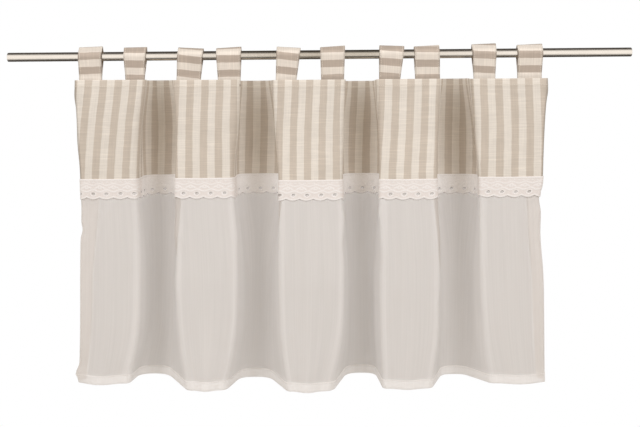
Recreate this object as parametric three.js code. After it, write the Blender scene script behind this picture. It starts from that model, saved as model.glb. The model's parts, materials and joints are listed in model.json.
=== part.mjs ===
// A short tab top curtain on its rod, in the folds in which it hangs.
//
// Frame, in millimetres: the origin is the centre of the rod's left end face, +X runs along the rod,
// -Y points into the room, where the curtain shows its face, and +Z is up.
// Pieces: the rod, ten striped tabs, the striped heading cloth, the lace trim and the voile panel.

import * as THREE from 'three';

// Rod
const ROD_LENGTH = 822;
const ROD_RADIUS = 6;
const ROD_CHAMFER = 0.6;
const ROD_SIDES = 32;

// Cloth thicknesses. The hems are the same cloth, turned up and so thicker.
const HEADING_THICK = 1.2;
const HEADING_HEM_THICK = 2.2;
const LACE_THICK = 1;
const VOILE_THICK = 1;
const VOILE_HEM_THICK = 1.8;
const LAYER_GAP = 0.5;

// Levels of the cloth, measured from the rod's axis
const TOP_LEVEL = -32.5;
const LACE_LEVEL = -162;
const HEM_LEVEL = -433;
const HEADING_HEM_DEPTH = 9.5;
const VOILE_HEM_DEPTH = 12;
const HEM_STEP = 1;

// The lace covers the seam: the heading ends behind it, and the voile starts behind the heading.
const LACE_WIDTH = 24.5;
const SEAM_DROP = 11;
const VOILE_DROP = 2;
const SEAM_LEVEL = LACE_LEVEL - SEAM_DROP;
const VOILE_TOP_LEVEL = LACE_LEVEL - VOILE_DROP;
const LACE_END_LEVEL = LACE_LEVEL - LACE_WIDTH;

// Distance between the rows of points down each cloth
const HEADING_ROW_STEP = 32;
const VOILE_ROW_STEP = 58;

// Scallops of the lace, with the step between points along them
const SCALLOP_PITCH = 18;
const SCALLOP_DEPTH = 2.2;
const LACE_STEP = 4;

// The fold section is given at five stations, evenly spread from the top edge to the lace's top
// edge and from there to the hem: top, mid heading, lace, mid voile, hem.
const LACE_STATION = 2;
const HEM_STATION = 4;

// The nine faces across the curtain, left to right: panels stand forward, recesses lie back. y is
// the distance from the rod's axis at each station; dTop, dLace and dHem are how far the cloth's
// lines hang off their levels on that face; crown is how far a panel bows forward at the hem.
const FACES = [
  { kind: 'panel', y: [-3.2, -4, -5, -4, -3], dTop: 1.5, dLace: 1, dHem: 1.5, crown: 6 },
  { kind: 'recess', y: [43, 44, 41, 42, 46], dTop: 1, dLace: 2, dHem: 1, crown: 0 },
  { kind: 'panel', y: [-3.2, -7, -13, -20, -28], dTop: 0.5, dLace: 2, dHem: 1, crown: 5 },
  { kind: 'recess', y: [43, 42, 38, 34, 31], dTop: -0.5, dLace: 2.5, dHem: -1, crown: 0 },
  { kind: 'panel', y: [-3.2, -9, -21, -30, -36], dTop: -0.5, dLace: -1, dHem: 1, crown: 6 },
  { kind: 'recess', y: [43, 42, 38, 38, 41], dTop: -2, dLace: 2, dHem: 1, crown: 0 },
  { kind: 'panel', y: [-3.2, -9, -20, -25, -29], dTop: -0.5, dLace: -1, dHem: 1, crown: 5 },
  { kind: 'recess', y: [43, 43, 38, 36, 36], dTop: 0, dLace: -0.5, dHem: 0.5, crown: 0 },
  { kind: 'panel', y: [-3.2, -6, -10, -10, -9], dTop: -1, dLace: 0, dHem: 1, crown: 5 },
];

// The eight walls between those faces, left to right. x is the panel's edge at each station, lean
// is how far the wall's back edge is tucked in behind the panel, or less than nothing where the
// wall splays out into the recess.
const WALLS = [
  { x: [182.5, 174, 170, 172.5, 157], lean: [9, 13, 13, 4, -12] },
  { x: [218, 220.5, 222, 223, 234], lean: [0, 2, 2, -8, -34] },
  { x: [309.5, 308, 299.5, 301.5, 290], lean: [5, 8, 8, 3, -17] },
  { x: [349.5, 350, 357.5, 355.5, 366.5], lean: [2, 4, 5, -4, -26] },
  { x: [446, 443.5, 437, 439, 429], lean: [3, 6, 6, 2, -16] },
  { x: [486, 485.5, 486.5, 484.5, 493.5], lean: [4, 7, 7, 2, -18] },
  { x: [573, 569, 564, 563.5, 554], lean: [0, 3, 3, -4, -16] },
  { x: [610.5, 611, 617.5, 617.5, 633], lean: [9, 13, 12, 2, -30] },
];

// The two side edges, which curl back behind the end panels: x of the outline, then how far the
// free edge runs inwards and backwards behind it.
const LEFT_SIDE = { x: [86.5, 91, 95, 91, 85.5], inwards: [1, 10, 22, 13, 6], backwards: [6, 5, 3, 7, 14] };
const RIGHT_SIDE = { x: [710, 703, 700, 704, 704], inwards: [1, 6, 18, 12, 6], backwards: [6, 5, 3, 7, 14] };
const SIDE_TURN = 8;

// Roundness of the folds at the five stations, and the most that a bend takes of the stretch
// beside it
const FRONT_RADIUS = [3.5, 6, 7, 9, 15];
const BACK_RADIUS = [12, 15, 17, 18, 18];
const SIDE_RADIUS = 4;
const BEND_SHARE = 0.46;

// Steps along the section: across a face, round a bend, down a wall
const FACE_STEPS = 3;
const BEND_STEPS = 4;
const WALL_STEPS = 2;

// Tabs, left to right: x of the two edges at the crease and at the cloth, crease heights at the
// two edges. Each tab is a strip folded over the rod, its two legs sewn behind the heading.
const TABS = [
  { topLeft: 92.6, topRight: 124.9, lowLeft: 92.9, lowRight: 123.9, creaseLeft: 12.4, creaseRight: 13.5 },
  { topLeft: 153.1, topRight: 183.4, lowLeft: 154.6, lowRight: 178.8, creaseLeft: 11.6, creaseRight: 12.1 },
  { topLeft: 224.7, topRight: 258.2, lowLeft: 221.8, lowRight: 253.8, creaseLeft: 11.2, creaseRight: 9.4 },
  { topLeft: 274.6, topRight: 307.8, lowLeft: 276.5, lowRight: 306.4, creaseLeft: 9.6, creaseRight: 11.5 },
  { topLeft: 354.5, topRight: 386.1, lowLeft: 352.8, lowRight: 380.4, creaseLeft: 11.2, creaseRight: 9.2 },
  { topLeft: 411.7, topRight: 444.6, lowLeft: 412.7, lowRight: 443, creaseLeft: 9.8, creaseRight: 11.9 },
  { topLeft: 490, topRight: 522.9, lowLeft: 489.2, lowRight: 517.3, creaseLeft: 11.7, creaseRight: 10.5 },
  { topLeft: 535.4, topRight: 568.6, lowLeft: 536.8, lowRight: 569.6, creaseLeft: 9.8, creaseRight: 11.5 },
  { topLeft: 611.5, topRight: 643.5, lowLeft: 614, lowRight: 642.6, creaseLeft: 11.9, creaseRight: 13.1 },
  { topLeft: 671.3, topRight: 704.7, lowLeft: 671.8, lowRight: 703.8, creaseLeft: 10.7, creaseRight: 12 },
];
const TAB_THICK = 1.1;
const TAB_CLEARANCE = 0.5;
const TAB_LEG_GAP = 0.3;
const TAB_JOIN_DROP = 26;
const TAB_TAIL_LEVEL = -41;
const TAB_WRAP_BENDS = 3;

const FINISHES = {
  rod: new THREE.MeshStandardMaterial({ color: 0xb9b0a2, roughness: 0.32, metalness: 1 }),
  tab: new THREE.MeshStandardMaterial({ color: 0xd3c6b5, roughness: 0.9, metalness: 0 }),
  heading: new THREE.MeshStandardMaterial({ color: 0xd6cbbb, roughness: 0.9, metalness: 0 }),
  lace: new THREE.MeshStandardMaterial({ color: 0xf0e8e4, roughness: 0.92, metalness: 0 }),
  voile: new THREE.MeshStandardMaterial({ color: 0xe0dad4, roughness: 0.85, metalness: 0 }),
};

const lerp = THREE.MathUtils.lerp;
const clamp = THREE.MathUtils.clamp;

// A smooth curve through values given at whole stations, read at any station between them.
function along(values, station) {
  const i = Math.min(Math.floor(station), values.length - 2);
  const t = station - i;
  const before = values[Math.max(i - 1, 0)];
  const after = values[Math.min(i + 2, values.length - 1)];
  const slopeIn = (values[i + 1] - before) / 2;
  const slopeOut = (after - values[i]) / 2;
  const t2 = t * t;
  const t3 = t2 * t;
  return (2 * t3 - 3 * t2 + 1) * values[i] + (t3 - 2 * t2 + t) * slopeIn
    + (3 * t2 - 2 * t3) * values[i + 1] + (t3 - t2) * slopeOut;
}

// Station of a level between the top edge, the lace's top edge and the hem.
function stationOf(level) {
  if (level >= LACE_LEVEL) return LACE_STATION * (TOP_LEVEL - level) / (TOP_LEVEL - LACE_LEVEL);
  const below = (LACE_LEVEL - level) / (LACE_LEVEL - HEM_LEVEL);
  return LACE_STATION + (HEM_STATION - LACE_STATION) * below;
}

// Corners of the fold section at a station, from the left free edge to the right one. Each has its
// bend radius, the face that it belongs to, and the crown of the stretch that starts there.
function sectionCorners(station) {
  const front = along(FRONT_RADIUS, station);
  const back = along(BACK_RADIUS, station);
  const faceY = FACES.map((face) => along(face.y, station));
  const corners = [];
  const add = (x, y, face, radius, steps, crown = 0) => {
    corners.push({ x, y, face, radius, steps, crown });
  };
  const last = FACES.length - 1;

  const leftX = along(LEFT_SIDE.x, station);
  const leftIn = leftX + along(LEFT_SIDE.inwards, station);
  const leftBack = faceY[0] + SIDE_TURN;
  add(leftIn, leftBack + along(LEFT_SIDE.backwards, station), 0, 0, WALL_STEPS);
  add(leftX, leftBack, 0, SIDE_RADIUS, 1);
  add(leftX, faceY[0], 0, SIDE_RADIUS, FACE_STEPS, crownAt(0, station));

  WALLS.forEach((wall, i) => {
    const leavesPanel = FACES[i].kind === 'panel';
    const panelX = along(wall.x, station);
    const lean = along(wall.lean, station);
    const recessX = leavesPanel ? panelX - lean : panelX + lean;
    add(leavesPanel ? panelX : recessX, faceY[i], i, leavesPanel ? front : back, WALL_STEPS);
    add(
      leavesPanel ? recessX : panelX,
      faceY[i + 1],
      i + 1,
      leavesPanel ? back : front,
      FACE_STEPS,
      crownAt(i + 1, station),
    );
  });

  const rightX = along(RIGHT_SIDE.x, station);
  const rightIn = rightX - along(RIGHT_SIDE.inwards, station);
  const rightBack = faceY[last] + SIDE_TURN;
  add(rightX, faceY[last], last, SIDE_RADIUS, 1);
  add(rightX, rightBack, last, SIDE_RADIUS, WALL_STEPS);
  add(rightIn, rightBack + along(RIGHT_SIDE.backwards, station), last, 0, 0);
  return corners;
}

// A panel's crown grows from nothing at the top edge to its full size at the hem.
function crownAt(face, station) {
  return FACES[face].crown * station / HEM_STATION;
}

// The section as points: bends are parabolas between straight stretches, and a crowned stretch
// bows forward by a squared sine. Each point keeps how it lies between two faces.
function sectionPoints(station) {
  const corners = sectionCorners(station);
  const cuts = corners.map((corner, i) => {
    if (corner.radius === 0) return 0;
    const before = corners[i - 1];
    const after = corners[i + 1];
    const room = Math.min(
      Math.hypot(corner.x - before.x, corner.y - before.y),
      Math.hypot(after.x - corner.x, after.y - corner.y),
    );
    const turn = Math.abs(turnAt(before, corner, after));
    return Math.min(corner.radius * Math.tan(turn / 2), BEND_SHARE * room);
  });

  const points = [];
  corners.forEach((corner, i) => {
    const before = corners[i - 1];
    const after = corners[i + 1];
    if (before && after) {
      const start = towards(corner, before, cuts[i]);
      const end = towards(corner, after, cuts[i]);
      const bend = new THREE.QuadraticBezierCurve(start, new THREE.Vector2(corner.x, corner.y), end);
      bend.getPoints(BEND_STEPS).forEach((p) => points.push({ x: p.x, y: p.y, face: corner.face }));
    } else {
      points.push({ x: corner.x, y: corner.y, face: corner.face });
    }
    if (!after) return;
    const from = towards(corner, after, cuts[i]);
    const to = towards(after, corner, cuts[i + 1]);
    for (let k = 1; k < corner.steps; k++) {
      const t = k / corner.steps;
      const bow = corner.crown * Math.sin(Math.PI * t) ** 2;
      points.push({
        x: lerp(from.x, to.x, t),
        y: lerp(from.y, to.y, t) - bow,
        face: lerp(corner.face, after.face, t),
      });
    }
  });
  return points;
}

function turnAt(a, b, c) {
  const into = Math.atan2(b.y - a.y, b.x - a.x);
  const out = Math.atan2(c.y - b.y, c.x - b.x);
  return Math.atan2(Math.sin(out - into), Math.cos(out - into));
}

function towards(from, to, distance) {
  const length = Math.hypot(to.x - from.x, to.y - from.y);
  const t = distance / length;
  return new THREE.Vector2(lerp(from.x, to.x, t), lerp(from.y, to.y, t));
}

// How far the cloth hangs off a level, read between the faces on either side of a point.
function sag(face, station) {
  const i = Math.min(Math.floor(face), FACES.length - 2);
  const t = face - i;
  const read = (line) => lerp(FACES[i][line], FACES[i + 1][line], t);
  if (station <= LACE_STATION) return lerp(read('dTop'), read('dLace'), station / LACE_STATION);
  return lerp(read('dLace'), read('dHem'), (station - LACE_STATION) / (HEM_STATION - LACE_STATION));
}

// One level of the hanging cloth: points in space, with the direction in which its face looks.
function clothLine(level) {
  const station = stationOf(level);
  const plan = sectionPoints(station);
  return plan.map((p, i) => {
    const before = plan[Math.max(i - 1, 0)];
    const after = plan[Math.min(i + 1, plan.length - 1)];
    const dx = after.x - before.x;
    const dy = after.y - before.y;
    const length = Math.hypot(dx, dy);
    return {
      at: new THREE.Vector3(p.x, p.y, level + sag(p.face, station)),
      out: new THREE.Vector3(dy / length, -dx / length, 0),
    };
  });
}

// The closed body between a face and a back, both given as rows of points.
function clothBody(face, back) {
  const rows = face.length;
  const columns = face[0].length;
  const sheet = rows * columns;
  const positions = [...face.flat(), ...back.flat()].flatMap((p) => [p.x, p.y, p.z]);
  const index = [];
  const quad = (a, b, c, d) => index.push(a, b, c, a, c, d);
  const front = (i, j) => i * columns + j;
  const rear = (i, j) => sheet + i * columns + j;
  for (let i = 0; i < rows - 1; i++) {
    for (let j = 0; j < columns - 1; j++) {
      quad(front(i, j), front(i + 1, j), front(i + 1, j + 1), front(i, j + 1));
      quad(rear(i, j), rear(i, j + 1), rear(i + 1, j + 1), rear(i + 1, j));
    }
    quad(front(i, 0), rear(i, 0), rear(i + 1, 0), front(i + 1, 0));
    quad(front(i, columns - 1), front(i + 1, columns - 1), rear(i + 1, columns - 1), rear(i, columns - 1));
  }
  for (let j = 0; j < columns - 1; j++) {
    quad(front(0, j), front(0, j + 1), rear(0, j + 1), rear(0, j));
    quad(front(rows - 1, j), rear(rows - 1, j), rear(rows - 1, j + 1), front(rows - 1, j + 1));
  }
  const geometry = new THREE.BufferGeometry();
  geometry.setAttribute('position', new THREE.Float32BufferAttribute(positions, 3));
  geometry.setIndex(index);
  geometry.computeVertexNormals();
  return geometry;
}

// A sheet that follows the folds through the given levels, each with the distance of its middle
// from the heading's middle and its thickness.
function hangingSheet(levels, refine = (line) => line) {
  const face = [];
  const back = [];
  for (const { level, offset, thick } of levels) {
    const line = refine(clothLine(level), level);
    face.push(line.map((p) => p.at.clone().addScaledVector(p.out, offset + thick / 2)));
    back.push(line.map((p) => p.at.clone().addScaledVector(p.out, offset - thick / 2)));
  }
  return clothBody(face, back);
}

// Levels from one to another in nearly even steps, both ends included.
function levelsBetween(from, to, step) {
  const count = Math.max(1, Math.round(Math.abs(to - from) / step));
  return Array.from({ length: count + 1 }, (_, i) => lerp(from, to, i / count));
}

function headingGeometry() {
  const hemEnd = TOP_LEVEL - HEADING_HEM_DEPTH;
  const hem = [TOP_LEVEL, hemEnd].map((level) => ({ level, offset: 0, thick: HEADING_HEM_THICK }));
  const plain = [...levelsBetween(hemEnd - HEM_STEP, LACE_LEVEL, HEADING_ROW_STEP), SEAM_LEVEL];
  return hangingSheet([...hem, ...plain.map((level) => ({ level, offset: 0, thick: HEADING_THICK }))]);
}

// The voile hangs from behind the heading's lower edge.
function voileGeometry() {
  const offset = -(HEADING_THICK + VOILE_THICK) / 2 - LAYER_GAP;
  const hemStart = HEM_LEVEL + VOILE_HEM_DEPTH;
  const below = levelsBetween(LACE_END_LEVEL, hemStart + HEM_STEP, VOILE_ROW_STEP);
  const plain = [VOILE_TOP_LEVEL, SEAM_LEVEL, ...below].map((level) => ({ level, offset, thick: VOILE_THICK }));
  const hem = [hemStart, HEM_LEVEL].map((level) => ({ level, offset, thick: VOILE_HEM_THICK }));
  return hangingSheet([...plain, ...hem]);
}

// The lace lies over the seam and follows the same folds in finer steps, its lower edge cut in
// scallops whose pitch is measured along the cloth.
function laceGeometry() {
  const offset = (HEADING_THICK + LACE_THICK) / 2 + LAYER_GAP;
  const seam = clothLine(SEAM_LEVEL);
  const lengths = seam.slice(1).map((p, i) => p.at.distanceTo(seam[i].at));
  const refine = (line, level) => {
    const fine = [];
    let run = 0;
    lengths.forEach((length, i) => {
      const count = Math.ceil(length / LACE_STEP);
      const stops = i === lengths.length - 1 ? count + 1 : count;
      for (let k = 0; k < stops; k++) {
        const t = k / count;
        const at = line[i].at.clone().lerp(line[i + 1].at, t);
        const out = line[i].out.clone().lerp(line[i + 1].out, t);
        const arc = Math.abs(Math.sin(Math.PI * (run + t * length) / SCALLOP_PITCH));
        if (level === LACE_END_LEVEL) at.z -= SCALLOP_DEPTH * arc;
        fine.push({ at, out });
      }
      run += length;
    });
    return fine;
  };
  const levels = [LACE_LEVEL, SEAM_LEVEL, LACE_END_LEVEL];
  return hangingSheet(levels.map((level) => ({ level, offset, thick: LACE_THICK })), refine);
}

// One side of a tab's section, from the back tail over the crease to the front tail. The strip lies
// against a circle of the given radius, and is tangent to it on its way to the crease and the tail.
function tabProfile(crease, inside) {
  const loop = ROD_RADIUS + TAB_CLEARANCE;
  const radius = inside ? loop : loop + TAB_THICK;
  const upper = Math.asin((loop + TAB_THICK) / crease);
  const lower = Math.asin(loop / TAB_JOIN_DROP);
  const bend = (upper + lower) / TAB_WRAP_BENDS;
  const tail = TAB_LEG_GAP / 2 + (inside ? 0 : TAB_THICK);
  const joinLevel = (tail * Math.cos(lower) - radius) / Math.sin(lower);
  const half = [{ y: tail, z: TAB_TAIL_LEVEL }, { y: tail, z: joinLevel }];
  for (let k = TAB_WRAP_BENDS - 1; k >= 0; k--) {
    const angle = upper - (k + 0.5) * bend;
    const reach = radius / Math.cos(bend / 2);
    half.push({ y: reach * Math.cos(angle), z: reach * Math.sin(angle) });
  }
  const top = { y: 0, z: radius / Math.sin(upper) };
  const frontHalf = half.map((p) => ({ y: -p.y, z: p.z })).reverse();
  return [...half, top, ...frontHalf];
}

function tabGeometry(tab) {
  const sides = [
    { top: tab.topLeft, low: tab.lowLeft, crease: tab.creaseLeft },
    { top: tab.topRight, low: tab.lowRight, crease: tab.creaseRight },
  ];
  const edges = (inside) => sides.map(({ top, low, crease }) => tabProfile(crease, inside).map((p) => {
    const rise = clamp((p.z - TOP_LEVEL) / (crease - TOP_LEVEL), 0, 1);
    return new THREE.Vector3(lerp(low, top, rise), p.y, p.z);
  }));
  const asRows = ([left, right]) => left.map((p, i) => [p, right[i]]);
  return clothBody(asRows(edges(false)), asRows(edges(true)));
}

function rodGeometry() {
  const profile = [
    new THREE.Vector2(0, 0),
    new THREE.Vector2(ROD_RADIUS - ROD_CHAMFER, 0),
    new THREE.Vector2(ROD_RADIUS, ROD_CHAMFER),
    new THREE.Vector2(ROD_RADIUS, ROD_LENGTH - ROD_CHAMFER),
    new THREE.Vector2(ROD_RADIUS - ROD_CHAMFER, ROD_LENGTH),
    new THREE.Vector2(0, ROD_LENGTH),
  ];
  return new THREE.LatheGeometry(profile, ROD_SIDES);
}

function piece(name, geometry, material) {
  const mesh = new THREE.Mesh(geometry, material);
  mesh.name = name;
  return mesh;
}

const curtain = new THREE.Group();
curtain.name = 'tab_top_curtain_on_a_rod';

const rod = piece('rod', rodGeometry(), FINISHES.rod);
rod.rotation.z = -Math.PI / 2;
curtain.add(rod);

TABS.forEach((tab, i) => {
  curtain.add(piece(`tab_${i + 1}`, tabGeometry(tab), FINISHES.tab));
});
curtain.add(piece('heading_cloth', headingGeometry(), FINISHES.heading));
curtain.add(piece('lace_trim', laceGeometry(), FINISHES.lace));
curtain.add(piece('voile_panel', voileGeometry(), FINISHES.voile));

export default curtain;
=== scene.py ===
"""The looks of a short tab top curtain on a rod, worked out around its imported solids.

Tables and functions are in millimetres, in the part's own frame: the origin is the centre of the
rod's left end face, +X runs along the rod, -Y points into the room and +Z is up. put_mesh turns
them into metres. A grid is an array of rows down the cloth by columns across it.
"""

import json
import math
from typing import NamedTuple

import bpy
import numpy as np
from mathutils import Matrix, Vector

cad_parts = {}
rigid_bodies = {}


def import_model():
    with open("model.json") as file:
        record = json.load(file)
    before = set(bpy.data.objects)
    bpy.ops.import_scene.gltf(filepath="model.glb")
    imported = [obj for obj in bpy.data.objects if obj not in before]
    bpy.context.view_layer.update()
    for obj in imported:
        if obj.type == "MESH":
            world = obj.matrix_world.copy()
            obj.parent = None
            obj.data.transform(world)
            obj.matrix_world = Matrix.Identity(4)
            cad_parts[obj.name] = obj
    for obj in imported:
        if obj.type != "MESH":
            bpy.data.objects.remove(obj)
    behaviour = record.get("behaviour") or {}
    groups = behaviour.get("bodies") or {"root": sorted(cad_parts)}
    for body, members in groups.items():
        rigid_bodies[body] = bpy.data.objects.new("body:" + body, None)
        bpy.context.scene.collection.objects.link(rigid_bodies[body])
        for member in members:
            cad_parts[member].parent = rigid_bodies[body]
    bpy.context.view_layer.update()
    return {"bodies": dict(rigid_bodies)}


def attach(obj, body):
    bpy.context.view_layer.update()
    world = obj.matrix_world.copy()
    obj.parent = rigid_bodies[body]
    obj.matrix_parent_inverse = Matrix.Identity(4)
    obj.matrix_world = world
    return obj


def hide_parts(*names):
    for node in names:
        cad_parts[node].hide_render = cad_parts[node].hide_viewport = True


bl_info = {
    "name": "Tab top curtain on a rod",
    "version": (1, 0, 0),
    "blender": (4, 5, 0),
    "location": "View3D > Sidebar > Curtain",
    "description": "Rod, tabs, striped heading, lace trim and voile of a short curtain",
    "category": "Add Mesh",
}

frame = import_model()
# Rod and cloth are one body
(BODY,) = frame["bodies"]
MM = 0.001

# The rod
ROD_LENGTH = 822.0
ROD_RADIUS = 6.0
ROD_CHAMFER = 0.5
ROD_SIDES = 96
# Where a cut end's rounded edge passes its corner, as a share of the chamfer, and the angle from
# which an edge looks sharp
ROD_ROUNDING = 0.3
ROD_SHARP_ANGLE = math.radians(50)

# Levels of the cloth, measured from the rod's axis
TOP_LEVEL = -32.5
LACE_LEVEL = -162.0
HEM_LEVEL = -433.0
HEADING_HEM = 9.5
VOILE_HEM = 12.0
LACE_WIDTH = 24.5
SEAM_LEVEL = LACE_LEVEL - 11
VOILE_TOP_LEVEL = LACE_LEVEL - 2
# Below the seam the voile comes forward into the folds over this height
VOILE_JOIN = 8.0

# Thickness of each cloth, single and at its hem, and how far in front of the fold surface its
# middle lies
HEADING_THICK = 1.0
HEADING_HEM_THICK = 1.3
VOILE_THICK = 0.8
VOILE_HEM_THICK = 1.4
LACE_THICK = 0.6
VOILE_OFFSET = -1.2
LACE_OFFSET = 0.95
# Height of a hem's crisp edge and of a cloth's soft one
HEM_STEP = 0.6
SOFT_EDGE = 0.35

# Stripes of the cloth: one cream and one beige together
STRIPE_PITCH = 19.4

# The fold section is given at five stations: top edge, mid heading, lace, mid voile and hem.
LACE_STATION = 2
HEM_STATION = 4


class Face(NamedTuple):
    """One face across the curtain. y: its place at each station, behind the rod's axis where it is
    more than 0. sag: how far its top, lace and hem lines hang off their levels. crown: how far it
    bows forward at the hem. cream_x: x of one cream stripe's left edge at the top, mid heading and
    lace. pitch: the stripes' pitch there."""

    kind: str
    y: tuple
    sag: tuple
    crown: float
    cream_x: tuple
    pitch: float


FACES = (
    Face("panel", (-3.2, -4, -5, -4, -3), (1.5, 1, 2.2), 6, (151, 144.3, 140), 19.6),
    Face("recess", (25, 48, 48, 42, 46), (1, 2, -0.2), 0, (191, 188.4, 186.5), 19.4),
    Face("panel", (-3.2, -7, -13, -20, -28), (0.5, 2, 0.3), 5, (265, 263.1, 263.3), 19.3),
    Face("recess", (25, 48, 45, 33, 31), (-0.5, 2.5, -1.2), 0, (321, 318.9, 317), 20.2),
    Face("panel", (-3.2, -9, -21, -30, -36), (-0.5, -1, 0.7), 6, (402.5, 399.5, 398.7), 18.7),
    Face("recess", (25, 48, 42, 31, 41), (-2, 2, 0.1), 0, (462.5, 460, 457.5), 20),
    Face("panel", (-3.2, -9, -20, -25, -29), (-0.5, -1, 1), 5, (535.8, 532.8, 528), 19.4),
    Face("recess", (25, 48, 45, 35, 36), (0, -0.5, -1.3), 0, (591, 592.3, 591), 20),
    Face("panel", (-3.2, -6, -10, -10, -9), (-1, 0, 0.2), 5, (651.2, 652, 649.8), 19.8),
)


class Wall(NamedTuple):
    """A wall between two faces. x: the panel's edge at each station. lean: how far the wall's back
    edge is tucked in behind the panel, less than nothing where it splays into the recess. seen:
    width at lace and hem in which the turned cloth shows through the panel's voile, with painted
    light there. hem_radius: radius of its front and back bend at the hem."""

    x: tuple
    lean: tuple
    seen: tuple
    hem_radius: tuple


WALLS = (
    Wall((182.5, 174, 170, 172.5, 157.3), (5, 7, -1, -7, -2), (7, 13), (8, 24)),
    Wall((218.5, 221, 221, 223, 237.4), (-5, 3, 4, -13, -38), (11, 4), (12, 44)),
    Wall((306.5, 303.5, 297.5, 301.5, 286.8), (4, 5, 0, -8, -13), (7, 6), (12, 20)),
    Wall((350, 351, 356.5, 356.5, 366.4), (-6, 4, 6, -14, -26), (8, 6), (8, 36)),
    Wall((445, 442.2, 438.8, 439.5, 424), (2, 3, -2, -9, -20), (5, 9), (16, 26)),
    Wall((487.5, 487.5, 487.5, 486.5, 489.4), (-6, 4, 6, -8, -6), (11, 6), (6, 30)),
    Wall((572, 567.5, 563, 563.5, 551.5), (3, 4, 1, -9, -21), (9, 6), (9, 30)),
    Wall((611.5, 614, 618.5, 619.5, 631), (-5, 8, 8, -9, -27), (10, 6), (13, 20)),
)


class Side(NamedTuple):
    """A side edge, curled back behind its end panel. x: the outline. inwards, backwards: how far
    the free edge runs behind it."""

    x: tuple
    inwards: tuple
    backwards: tuple


LEFT_SIDE = Side((88.2, 91, 94.6, 92.9, 88.8), (1, 10, 22, 13, 6), (6, 5, 3, 7, 14))
RIGHT_SIDE = Side((711.3, 706, 702.3, 702.3, 703.5), (1, 6, 18, 12, 6), (6, 5, 3, 7, 14))
# How far behind its panel a side turns back, and the radius of its bends
SIDE_TURN = 8
SIDE_RADIUS = 4.0
# Radii of the walls' bends at the stations above the hem: at a panel's right and left edge, and at
# the back
RIGHT_RADIUS = (7, 11, 8, 6)
LEFT_RADIUS = (4, 8, 3, 7)
BACK_RADIUS = (12, 14, 20, 24)
# The most of a straight stretch that a bend at its end takes up
BEND_SHARE = 0.46

# Columns across a face, down a wall, down a side's return and round a bend
COLUMNS = {"face": 26, "wall": 12, "side": 4}
BEND_COLUMNS = 8
# Row spacing of each cloth
HEADING_ROW = 2.6
VOILE_ROW = 3.7


class Crease(NamedTuple):
    """A soft trough or ridge in the cloth. place: x and level of its middle. size: half width and
    half length. lean: how far it slants across for each millimetre up. shift: how far the cloth
    moves sideways and forwards there."""

    place: tuple
    size: tuple
    lean: float
    shift: tuple


PANEL_CREASES = (
    # Heading
    Crease((108, -70), (9, 40), 0.06, (0, 1.2)),
    Crease((134, -120), (7, 45), 0.08, (0, -1.3)),
    Crease((163, -95), (6, 38), 0.07, (0, 1.1)),
    Crease((236, -92), (6, 42), 0.0, (0, -1.2)),
    Crease((283, -78), (9, 36), 0.03, (0, 1.4)),
    Crease((299, -136), (4, 30), 0.02, (-1.0, -1.8)),
    Crease((372, -118), (8, 44), -0.02, (0, -1.3)),
    Crease((416, -66), (9, 34), 0.02, (0, 1.3)),
    Crease((505, -104), (8, 46), 0.02, (0, 1.2)),
    Crease((546, -72), (7, 36), 0.03, (0, -1.2)),
    Crease((634, -88), (8, 42), 0.0, (0, 1.3)),
    Crease((672, -126), (9, 40), -0.02, (0, -1.4)),
    # Side edges
    Crease((88, -52), (12, 12), 0.0, (-1.4, 0)),
    Crease((92, -115), (12, 20), 0.0, (-0.9, 0)),
    Crease((95, -205), (14, 28), 0.0, (1.1, 0)),
    Crease((95, -228), (10, 7), 0.0, (2.2, 0)),
    Crease((90, -418), (10, 8), 0.0, (-4.4, 0)),
    Crease((88, -440), (12, 60), 0.0, (0, -5)),
    Crease((711, -50), (12, 10), 0.0, (1.3, 0)),
    Crease((700, -190), (14, 14), 0.0, (-4.2, 0)),
    Crease((700, -236), (14, 40), 0.0, (-3.8, 0)),
    Crease((706, -440), (14, 60), 0.0, (0, -4)),
    # Voile
    Crease((126, -250), (9, 70), 0.03, (0, 1.2)),
    Crease((226, -232), (6, 14), 0.0, (-2.2, 0.8)),
    Crease((226, -262), (6, 16), 0.0, (1.6, -0.6)),
    Crease((224, -300), (7, 16), 0.0, (-1.4, 0.6)),
    Crease((262, -330), (10, 80), 0.02, (0, -1.4)),
    Crease((300, -238), (6, 18), 0.0, (1.2, 0.6)),
    Crease((345, -220), (5, 16), 0.0, (0.8, 0.8)),
    Crease((398, -300), (12, 90), 0.0, (0, 1.4)),
    Crease((443, -214), (6, 12), 0.0, (1.6, 0.8)),
    Crease((440, -252), (7, 18), 0.0, (-1.4, 0.5)),
    Crease((488, -206), (5, 12), 0.0, (-1.4, 0.8)),
    Crease((489, -262), (7, 22), 0.0, (1.8, 0.6)),
    Crease((521, -330), (11, 80), -0.02, (0, 1.2)),
    Crease((561, -240), (6, 20), 0.0, (1.4, 0.6)),
    Crease((562, -330), (7, 22), 0.0, (-1.2, 0.5)),
    Crease((620, -350), (7, 26), 0.0, (1.2, 0.6)),
    Crease((652, -280), (10, 80), 0.0, (0, -1.2)),
)
RECESS_CREASES = (
    Crease((204, -300), (10, 90), 0.02, (0, 1.6)),
    Crease((332, -290), (9, 90), -0.02, (0, -1.6)),
    Crease((466, -310), (10, 80), 0.01, (0, 1.8)),
    Crease((590, -300), (9, 90), 0.02, (0, -1.6)),
)
# Behind the rod's axis, panels end at the first distance and recesses begin at the second
FRONT_LIMIT = 6.0
BACK_LIMIT = 24.0


class Fade(NamedTuple):
    """Painted shade on striped cloth: where it turns away from the light, along folded edges and
    creases, on a tab's crown over the rod and where a tab dips behind the heading. Its strength,
    and the distances at which it is full and gone."""

    strength: float
    full: float
    gone: float


# Painted shade in from the heading's two side edges
HEADING_SIDE_FADE = Fade(1.0, 0.6, 3.4)
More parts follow.
